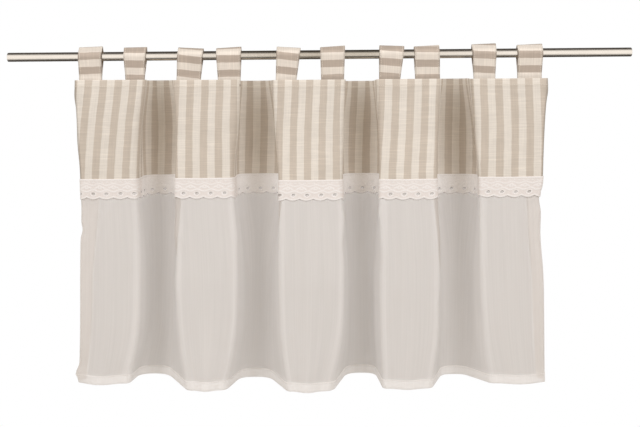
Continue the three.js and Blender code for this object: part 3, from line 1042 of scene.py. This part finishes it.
def length_value(label, description, millimetres):
    return bpy.props.FloatProperty(
        name=label,
        description=description,
        unit="LENGTH",
        precision=5,
        min=0.1 * MM,
        default=millimetres * MM,
    )


def power_value(label, description, watts):
    return bpy.props.FloatProperty(
        name=label, description=description, unit="POWER", min=0, default=watts
    )


class CurtainColours(bpy.types.PropertyGroup):
    """Colours of the cloths, the lace and the rod, and how closely the voile covers."""

    cream: colour_value("Cream", "Cream stripes of the heading", "E8E1D7")
    beige: colour_value("Beige", "Beige stripes of the heading", "D0C5B8")
    # Painted light and shade: the tabs' stripes are a copy of the heading's with lighter cream and
    # darker beige
    tab_cream_painted_light: colour_value("Tab cream", "Cream stripes of the tabs, doubled cloth", "F4EBE0")
    tab_beige_painted_shade: colour_value("Tab beige", "Beige stripes of the tabs, doubled cloth", "C6B8AB")
    lace: colour_value("Lace", "Raised threads of the lace", "FFFDFC")
    lace_ground: colour_value("Lace ground", "Flat ground of the lace", "F1EAE6")
    voile: colour_value("Voile", "Single voile", "E1DBD6")
    # Painted light: the voile drawn whiter where layers lie double
    voile_doubled_painted_light: colour_value("Voile doubled", "Voile where layers lie double", "FBF7F4")
    thread: colour_value("Thread", "Sewing thread of the striped cloth", "EFE8DC")
    white_thread: colour_value("White thread", "Sewing thread of voile and lace", "F4F0EC")
    steel: colour_value("Steel", "Satin metal of the rod", "D8D2C8")
    cover: bpy.props.FloatProperty(
        name="Voile cover",
        description="Share of the view that each face of the voile stops",
        default=0.55,
        min=0,
        max=1,
        subtype="FACTOR",
    )


class CurtainSizes(bpy.types.PropertyGroup):
    """Sizes of the sewing."""

    thread: length_value("Thread", "Thickness of the sewing thread", 0.6)
    stitch: length_value("Stitch", "Length of one stitch", 2.4)
    step: length_value("Stitch step", "Distance from one stitch to the next", 3.0)


class CurtainLight(bpy.types.PropertyGroup):
    """Strength of the studio's lights."""

    right: power_value("Right light", "Power of the soft light at the right", 15.2)
    left: power_value("Left light", "Power of the soft light at the left", 14.3)
    fill: colour_value("Fill", "Brightness and colour of the even light from all round", "B4ABA0")


GROUPS = {
    "curtain_colours": CurtainColours,
    "curtain_sizes": CurtainSizes,
    "curtain_light": CurtainLight,
}


# Operators


class CURTAIN_OT_stage(bpy.types.Operator):
    """Camera, soft studio light, white surround and a plain pale floor"""

    bl_idname = "curtain.stage"
    bl_label = "Stage and camera"

    def execute(self, context):
        scene = context.scene
        light = scene.curtain_light
        scene.view_settings.view_transform = "Standard"
        camera_data = bpy.data.cameras.new("camera")
        camera_data.sensor_width = SENSOR_WIDTH
        camera_data.lens = FOCAL_PIXELS * SENSOR_WIDTH / PHOTO_WIDTH
        camera_data.shift_y = (HORIZON_PIXEL - PHOTO_HEIGHT / 2) / PHOTO_WIDTH
        camera = bpy.data.objects.new("camera", camera_data)
        camera.location = np.array(CAMERA_PLACE) * MM
        camera.rotation_euler = (math.pi / 2, CAMERA_ROLL, 0)
        scene.collection.objects.link(camera)
        scene.camera = camera

        self.softbox(scene, "right_light", RIGHT_TURN, light.right)
        self.softbox(scene, "left_light", LEFT_TURN, light.left)
        self.surround(scene, light.fill)
        turns = np.arange(FLOOR_SIDES) * 2 * math.pi / FLOOR_SIDES
        ring = np.stack([np.cos(turns), np.sin(turns), 0 * turns], axis=-1) * FLOOR_RADIUS
        points = ring + np.array([CAMERA_PLACE[0], 0, FLOOR_LEVEL])
        paint = finished("matt_pale_floor_paint", floor_paint)
        floor = put_mesh("floor", points, [list(range(FLOOR_SIDES))], points[:, :2], paint)
        floor.visible_glossy = False
        return {"FINISHED"}

    def softbox(self, scene, name, turn, power):
        """A large soft light that looks down at the curtain from one side. The rod doesn't mirror
        it, because the surround holds what the rod shows."""
        data = bpy.data.lights.new(name, "AREA")
        data.shape = "RECTANGLE"
        data.size, data.size_y = LIGHT_SIZE
        data.energy = power
        data.color = LIGHT_COLOUR
        box = bpy.data.objects.new(name, data)
        level = math.cos(LIGHT_RISE)
        way = (level * math.sin(turn), -level * math.cos(turn), math.sin(LIGHT_RISE))
        box.location = Vector(LIGHT_AIM) + Vector(way) * LIGHT_DISTANCE
        box.rotation_euler = Vector(way).to_track_quat("Z", "Y").to_euler()
        box.visible_glossy = False
        scene.collection.objects.link(box)

    def surround(self, scene, fill):
        """White behind the object, even soft light all round, and for reflections a light band at
        eye level between a dark ceiling and a dark floor."""
        world = bpy.data.worlds.new("studio")
        world.use_nodes = True
        scene.world = world
        tree = world.node_tree
        tree.nodes.clear()
        is_camera = add(tree, "LightPath", output="Is Camera Ray")
        is_glossy = add(tree, "LightPath", output="Is Glossy Ray")
        way = add(tree, "TexCoord", output="Generated")
        across, depth, height = (add(tree, "SeparateXYZ", [way], axis) for axis in range(3))
        steep = add(tree, "Math", [height], operation="ABSOLUTE")
        limit = add(tree, "MapRange", [depth, *BAND_REACH])
        past = add(tree, "Math", [steep, limit], operation="SUBTRACT")
        is_band = add(tree, "MapRange", [past, *BAND_END], interpolation_type="SMOOTHSTEP")
        aside = add(tree, "Math", [across], operation="ABSOLUTE")
        is_side = add(tree, "MapRange", [aside, *BAND_MIDDLE_END])
        slope = add(tree, "MapRange", [height, *FILL_SLOPE])
        even = add(tree, "VectorMath", [fill, slope], operation="MULTIPLY")
        shown = BAND_SIDES
        for share, other in ((is_side, BAND_MIDDLE), (is_band, BAND_OUTSIDE), (is_glossy, even)):
            shown = add(tree, "Mix", {0: share, 6: other, 7: shown}, 2, data_type="RGBA")
        seen = {0: is_camera, 6: shown, 7: WHITE}
        colour = add(tree, "Mix", seen, 2, data_type="RGBA")
        background = add(tree, "Background", {"Color": colour, "Strength": 1.0})
        add(tree, "OutputWorld", {"Surface": background})


class CURTAIN_OT_rod(bpy.types.Operator):
    """The plain round rod"""

    bl_idname = "curtain.rod"
    bl_label = "Rod"

    def execute(self, context):
        """A circle of ROD_SIDES points carried along X, drawn in at the two cut ends."""
        turns = np.arange(ROD_SIDES) * 2 * math.pi / ROD_SIDES
        inwards = np.array([0, ROD_CHAMFER * ROD_ROUNDING, ROD_CHAMFER])
        x = np.concatenate([inwards, ROD_LENGTH - inwards[::-1]])
        radius = ROD_RADIUS - np.concatenate([inwards[::-1], inwards])
        ring = np.stack([0 * turns, np.cos(turns), np.sin(turns)], axis=-1)
        points = ring * radius[:, None, None]
        points[..., 0] = x[:, None]
        points = points.reshape(-1, 3)
        wall, ends = tube_faces(len(x), ROD_SIDES)
        steel = finished("satin_nickel_plated_steel", satin_steel, context.scene.curtain_colours)
        faces = wall.tolist() + ends.tolist()
        piece = put_mesh("rod_tube", points, faces, points[:, :2], steel)
        piece.data.set_sharp_from_angle(angle=ROD_SHARP_ANGLE)
        belongs(piece, "rod_steel", "rod")
        return {"FINISHED"}


def tab_line(crease_height):
    """The middle line of a tab in the plane across the rod, from its back tail over the rod to its
    front tail: a small round crease, straight down to the rod, round it, and straight to where
    the two legs meet. Its points are evenly spaced on each side of the crease."""
    hold = ROD_RADIUS + TAB_CLEARANCE + TAB_THICK / 2
    tip = crease_height - TAB_THICK / 2 - TAB_CREASE_RADIUS
    leave = math.acos((hold - TAB_CREASE_RADIUS) / tip)
    meet = math.pi - math.acos(hold / TAB_JOIN_DROP)
    small = np.linspace(0, leave, TAB_CREASE_POINTS)
    crown = np.stack([TAB_CREASE_RADIUS * np.sin(small), tip + TAB_CREASE_RADIUS * np.cos(small)])
    angle = np.linspace(leave, meet, TAB_ROUND_POINTS)
    round_rod = np.stack([hold * np.sin(angle), hold * np.cos(angle)])
    tail = np.array([[TAB_TAIL_Y, TAB_TAIL_Y], [-TAB_JOIN_DROP, TAB_TAIL_LEVEL]])
    half = np.concatenate([crown, round_rod, tail], axis=1).T
    run = run_length(half)
    spots = np.linspace(0, run[-1], TAB_HALF_ROWS + 1)
    back = np.stack([np.interp(spots, run, half[:, k]) for k in range(2)], axis=-1)
    return np.concatenate([back[::-1], back[1:] * (-1, 1)])


class CURTAIN_OT_tabs(bpy.types.Operator):
    """The ten striped tabs"""

    bl_idname = "curtain.tabs"
    bl_label = "Tabs"

    def execute(self, context):
        colours = context.scene.curtain_colours
        # Painted light and shade: the tabs' cotton is a copy with lighter cream and darker beige
        # stripes
        dyes = (colours.tab_cream_painted_light, colours.tab_beige_painted_shade)
        cotton = finished("yarn_dyed_striped_cotton_doubled_painted_light", striped_cotton, *dyes)
        share = (1 - np.cos(np.linspace(0, math.pi, TAB_COLUMNS))) / 2
        inset, margin = TAB_STITCHES
        lines = []
        for i, tab in enumerate(TABS):
            middle, out, run = self.strip(tab, share)
            width = tab.top[1] - tab.top[0]
            length = np.ptp(run[:, 0])
            stripes = run - lerp(*tab.beige, share) + STRIPE_PITCH / 2
            uv = np.stack([stripes, middle[..., 0] + TAB_CUT_STEP * i], axis=-1)
            shade = {"shade": self.shade(middle, run, np.minimum(share, 1 - share) * width)}
            piece = cloth_piece(TAB_PIECES[i], middle, out, TAB_THICK, uv, cotton, shade)
            hangs(piece, "striped_cloth", f"tab_{i + 1}")
            for place in (inset / width, 1 - inset / width):
                column = np.interp(place, share, np.arange(TAB_COLUMNS))
                left = int(column)
                line = lerp(middle[:, left], middle[:, left + 1], column - left)
                face = line + out[:, left] * TAB_THICK / 2
                lines.append(stitch_line(face, out[:, left], length, margin))
        thread = finished("natural_sewing_thread", sewing_thread, colours.thread)
        stitch_piece("tab_stitches", *map(np.concatenate, zip(*lines)), thread, "striped_cloth")
        return {"FINISHED"}

    def shade(self, middle, run, inside):
        """Painted shade: the strongest of the fades at the tab's sides, its crease, its foot
        behind the heading and its crown over the rod. inside: how far each column lies in from the
        nearer side."""
        fades = (
            faded(TAB_SIDE_FADE, inside),
            faded(TAB_CREASE_FADE, np.abs(run)),
            faded(TAB_FOOT_FADE, middle[..., 2] - TOP_LEVEL),
            faded(TAB_CROWN_FADE, middle[..., 2]),
        )
        return np.max(np.broadcast_arrays(*fades), axis=0)

    def strip(self, tab, share):
        """The tab's middle surface, the way that it faces and the run down the front from the
        crease: its line, worked out for the crease's height at each share of its width, and
        carried across between its edges, which draw together from the crease to the cloth."""
        crease_height = lerp(*tab.crease, share)
        lines = np.stack([tab_line(height) for height in crease_height], axis=1)
        up = np.clip((lines[..., 1] - TOP_LEVEL) / (crease_height - TOP_LEVEL), 0, 1)
        left = lerp(tab.low[0], tab.top[0], up)
        right = lerp(tab.low[1], tab.top[1], up)
        middle = np.concatenate([lerp(left, right, share)[..., None], lines], axis=-1)
        slope = np.gradient(middle, axis=0)
        out = np.stack([0 * left, slope[..., 2], -slope[..., 1]], axis=-1)
        run = run_length(middle.transpose(1, 0, 2)).T
        return middle, unit(out), run - run[TAB_HALF_ROWS]


class CURTAIN_OT_heading(bpy.types.Operator):
    """The striped heading in its folds, with its top hem"""

    bl_idname = "curtain.heading"
    bl_label = "Heading"

    def execute(self, context):
        colours = context.scene.curtain_colours
        dyes = (colours.cream, colours.beige)
        cotton = finished("yarn_dyed_striped_cotton", striped_cotton, *dyes)
        hem_line = TOP_LEVEL - HEADING_HEM
        cloth = hang(rows_between(TOP_LEVEL, hem_line, SEAM_LEVEL, step=HEADING_ROW))
        is_hem = (cloth.level > hem_line)[:, None] * np.ones_like(cloth.run)
        thick = lerp(HEADING_THICK, HEADING_HEM_THICK, is_hem)
        uv = cloth_uv(cloth, stripe_run(cloth) * STRIPE_PITCH)
        # Painted light on the doubled hem, and painted shade along the side edges
        drawn = {"layers": is_hem, "shade": self.side_shade(cloth)}
        name = "heading_striped"
        piece = cloth_piece(name, cloth.middle, cloth.out, thick, uv, cotton, drawn)
        hangs(piece, "striped_cloth", "heading_cloth")

        thread = finished("natural_sewing_thread", sewing_thread, colours.thread)
        inset, margin = HEADING_STITCHES
        hem = (hem_line + inset, HEADING_HEM_THICK, margin)
        hem_stitches("heading_hem_stitches", *hem, thread, "striped_cloth")
        return {"FINISHED"}

    def side_shade(self, cloth):
        """Painted shade along the two folded side edges, darkest at the edges."""
        station = station_of(cloth.level)
        x = cloth.middle[..., 0]
        left, right = (along(side.x, station)[:, None] for side in (LEFT_SIDE, RIGHT_SIDE))
        return faded(HEADING_SIDE_FADE, np.minimum(x - left, right - x))


def from_eyelet(hole, s, d):
    """Place across and down from the nearest eyelet of that kind, over its half sizes."""
    across = np.mod(s - hole.along + SCALLOP_PITCH / 2, SCALLOP_PITCH) - SCALLOP_PITCH / 2
    return across / hole.half_width, (d - hole.down) / hole.half_height


def lace_relief(s, d, edge):
    """Height of the lace's threads: the highest of ridges exp(-(distance/width)^2) along the
    scalloped edge, round the eyelets, along two waves and a straight band, and of leaves and
    dashes as small mounds."""

    def raised(distance, ridge):
        return ridge.height * bell(distance - ridge.away, ridge.half_width)

    wave = np.cos(2 * math.pi * s / SCALLOP_PITCH)
    heights = [raised(edge - d, EDGE_RIDGE)]
    heights += [raised(d - ridge.wave * wave, ridge) for ridge in BAND_RIDGES]
    for hole in EYELETS:
        outside = (np.hypot(*from_eyelet(hole, s, d)) - 1) * hole.half_height
        heights.append(raised(outside, RING_RIDGE))
    for mound in MOUNDS:
        u = np.mod(s, mound.repeat) - mound.along
        v = d - mound.down
        length = (u * math.cos(mound.lean) + v * math.sin(mound.lean)) / mound.half_length
        width = (v * math.cos(mound.lean) - u * math.sin(mound.lean)) / mound.half_width
        heights.append(mound.height * bell(np.hypot(length, width), MOUND_SOFTNESS))
    return np.max(heights, axis=0)


class CURTAIN_OT_lace(bpy.types.Operator):
    """The scalloped lace over the seam"""

    bl_idname = "curtain.lace"
    bl_label = "Lace"

    def execute(self, context):
        """A flat strip of s along by d down, laid on the folds. Its rows run from the straight top
        to an edge LACE_WIDTH + SCALLOP_DEPTH |sin(pi s / SCALLOP_PITCH)| down."""
        colours = context.scene.curtain_colours
        part = np.linspace(0, 1, LACE_ROWS)[:, None]
        cloth = hang(LACE_LEVEL - part[:, 0] * LACE_WIDTH)
        length = cloth.run[LACE_ROWS // 2, -1]
        columns = round(length / SCALLOP_PITCH * LACE_COLUMNS) + 1
        s = np.broadcast_to(np.linspace(0, length, columns), (LACE_ROWS, columns))
        edge = LACE_WIDTH + SCALLOP_DEPTH * np.abs(np.sin(math.pi * s / SCALLOP_PITCH))
        d = part * LACE_WIDTH + smooth(SCALLOP_START, 1, part) * (edge - LACE_WIDTH)
        s, d, is_open = self.pierce(s, d)

        def laid(values):
            """Values read along each row of the folds at the strip's own places."""
            spots = s / length * cloth.run[:, -1:]
            rows = zip(spots, cloth.run, values)
            read = [[np.interp(at, run, row[:, k]) for k in range(3)] for at, run, row in rows]
            return np.array(read).transpose(0, 2, 1)

        out = unit(laid(cloth.out))
        middle = laid(cloth.middle) + out * LACE_OFFSET
        middle[..., 2] -= d - part * LACE_WIDTH
        height = lace_relief(s, d, edge)
        half = thin_edges(LACE_THICK / 2 * self.fullness(s, d))
        front = middle + out * (half + height)[..., None]
        back = middle - out * half[..., None]
        raised = np.clip(height / FULL_RELIEF, 0, 1)
        # Painted light: in a recess the lace takes most of the raised threads' lighter colour
        raised = lerp(raised, 1, RECESS_PAINTED_LIGHT * recessed(middle))
        uv = np.stack([s, d], axis=-1).reshape(-1, 2)
        faces, used = self.faces(is_open)
        piece = put_mesh(
            "lace_scalloped",
            np.concatenate([front, back]).reshape(-1, 3)[used],
            faces.tolist(),
            np.tile(uv, (2, 1))[used],
            finished("machine_made_cotton_lace", cotton_lace, colours),
            {"raised": np.tile(raised.ravel(), 2)[used]},
        )
        hangs(piece, "lace", "lace_trim")

        thread = finished("white_sewing_thread", sewing_thread, colours.white_thread)
        inset, margin = LACE_STITCHES
        row = round(inset / LACE_WIDTH * (LACE_ROWS - 1))
        spots = stitch_line(front[row], out[row], cloth.run[row, -1], margin)
        stitch_piece("lace_stitches", *spots, thread, "lace")
        return {"FINISHED"}

    def fullness(self, s, d):
        """Share of the full thickness: less towards the rims of the open eyelets."""
        rims = [np.hypot(*from_eyelet(hole, s, d)) - 1 for hole in EYELETS if hole.is_open]
        return lerp(RIM_THICK, 1, smooth(0, RIM_REACH, np.min(rims, axis=0)))

    def pierce(self, s, d):
        """Opens the eyelets. Faces whose middle lies in a hole are open, and the points round them
        move straight away from or towards the hole's middle onto its outline."""
        is_open = np.zeros((s.shape[0] - 1, s.shape[1] - 1), bool)
        s, d = s.copy(), d.copy()
        middle_s = (s[:-1, :-1] + s[1:, 1:]) / 2
        middle_d = (d[:-1, :-1] + d[1:, 1:]) / 2
        for hole in (hole for hole in EYELETS if hole.is_open):
            inside = np.hypot(*from_eyelet(hole, middle_s, middle_d)) < 1
            is_open |= inside
            around = np.pad(inside, 1).astype(int)
            touching = around[:-1, :-1] + around[:-1, 1:] + around[1:, :-1] + around[1:, 1:]
            rim = (touching > 0) & (touching < 4)
            u, v = from_eyelet(hole, s, d)
            move = 1 / np.maximum(np.hypot(u, v), 0.1) - 1
            s[rim] += (u * move * hole.half_width)[rim]
            d[rim] += (v * move * hole.half_height)[rim]
        return s, d, is_open

    def faces(self, is_open):
        """Faces of the closed band: front, back and outer rim, and round each eyelet a wall from
        front to back wherever an open face meets a closed one. Returns them renumbered to the
        points that they use, with the old numbers of those points."""
        rows, columns = is_open.shape[0] + 1, is_open.shape[1] + 1
        count = rows * columns
        number = np.arange(count).reshape(rows, columns)
        kept = ~is_open.ravel()
        around = np.pad(is_open, 1)
        meets = (
            (around[:-2, 1:-1], number[:-1, 1:], number[:-1, :-1]),
            (around[2:, 1:-1], number[1:, :-1], number[1:, 1:]),
            (around[1:-1, :-2], number[:-1, :-1], number[1:, :-1]),
            (around[1:-1, 2:], number[1:, 1:], number[:-1, 1:]),
        )
        parts = [
            grid_faces(rows, columns)[kept],
            grid_faces(rows, columns, count)[kept][:, ::-1],
            outer_rim(rows, columns),
        ]
        for beyond, first, second in meets:
            a, b = first[is_open & ~beyond], second[is_open & ~beyond]
            parts.append(np.stack([a, b, b + count, a + count], axis=-1))
        used, renumbered = np.unique(np.concatenate(parts), return_inverse=True)
        return renumbered.reshape(-1, 4), used


class CURTAIN_OT_voile(bpy.types.Operator):
    """The sheer voile in the same folds, with its bottom hem"""

    bl_idname = "curtain.voile"
    bl_label = "Voile"

    def execute(self, context):
        colours = context.scene.curtain_colours
        sheer = finished("woven_polyester_voile", polyester_voile, colours)
        hem_line = HEM_LEVEL + VOILE_HEM
        cloth = hang(rows_between(VOILE_TOP_LEVEL, hem_line, HEM_LEVEL, step=VOILE_ROW))
        is_hem = (cloth.level < hem_line)[:, None] * np.ones_like(cloth.run)
        thick = lerp(VOILE_THICK, VOILE_HEM_THICK, is_hem)
        uv = cloth_uv(cloth, cloth.run.mean(axis=0))
        # Painted light where the voile lies double: at its hem, in front of the curled sides and
        # at the walls
        layers = {"layers": np.maximum(is_hem, self.doubled(cloth))}
        below = smooth(SEAM_LEVEL, SEAM_LEVEL - VOILE_JOIN, cloth.level)[:, None, None]
        middle = cloth.middle + cloth.out * lerp(VOILE_OFFSET, 0, below)
        piece = cloth_piece("voile_sheer", middle, cloth.out, thick, uv, sheer, layers)
        hangs(piece, "voile", "voile_panel")

        thread = finished("white_sewing_thread", sewing_thread, colours.white_thread)
        inset, margin = VOILE_STITCHES
        hem = (hem_line - inset, VOILE_HEM_THICK, margin)
        hem_stitches("voile_hem_stitches", *hem, thread, "voile")
        return {"FINISHED"}

    def doubled(self, cloth):
        """How strongly painted light shows where turned cloth lies behind a panel's face: within
        each wall's seen width of the panel's edge, and in front of the two curled sides."""
        station = station_of(cloth.level)
        bands = []
        for side, inward in ((LEFT_SIDE, 1), (RIGHT_SIDE, -1)):
            back = SIDE_TURN + along(side.backwards, station)
            width = along(side.inwards, station) + SIDE_WIDENS * back
            bands.append((side.x, width, inward, SIDE_SHOWS))
        for face, wall in zip(FACES, WALLS):
            inward = -1 if face.kind == "panel" else 1
            bands.append((wall.x, lerp(*wall.seen, voile_share(station)), inward, WALL_SHOWS))
        amount = np.zeros_like(cloth.run)
        for edge_x, width, inward, strength in bands:
            inside = (cloth.middle[..., 0] - along(edge_x, station)[:, None]) * inward
            past = inside - width[:, None]
            shown = smooth(*DOUBLED_START, inside) * (1 - smooth(-DOUBLED_END, DOUBLED_END, past))
            amount = np.maximum(amount, strength * shown)
        return amount * (1 - recessed(cloth.middle))


OPERATORS = (
    CURTAIN_OT_stage,
    CURTAIN_OT_rod,
    CURTAIN_OT_tabs,
    CURTAIN_OT_heading,
    CURTAIN_OT_lace,
    CURTAIN_OT_voile,
)


class CURTAIN_PT_panel(bpy.types.Panel):
    """Colours, sizes, lights and pieces of the curtain"""

    bl_idname = "CURTAIN_PT_panel"
    bl_label = "Tab top curtain"
    bl_space_type = "VIEW_3D"
    bl_region_type = "UI"
    bl_category = "Curtain"

    def draw(self, context):
        for name, kind in GROUPS.items():
            for key in kind.__annotations__:
                self.layout.prop(getattr(context.scene, name), key)
        for operator in OPERATORS:
            self.layout.operator(operator.bl_idname)


CLASSES = (*GROUPS.values(), *OPERATORS, CURTAIN_PT_panel)


def register():
    for item in CLASSES:
        bpy.utils.register_class(item)
    for name, kind in GROUPS.items():
        setattr(bpy.types.Scene, name, bpy.props.PointerProperty(type=kind))


def unregister():
    for name in GROUPS:
        delattr(bpy.types.Scene, name)
    for item in reversed(CLASSES):
        bpy.utils.unregister_class(item)


def main():
    register()
    for operator in OPERATORS:
        group, name = operator.bl_idname.split(".")
        getattr(getattr(bpy.ops, group), name)()


if __name__ == "__main__":
    main()
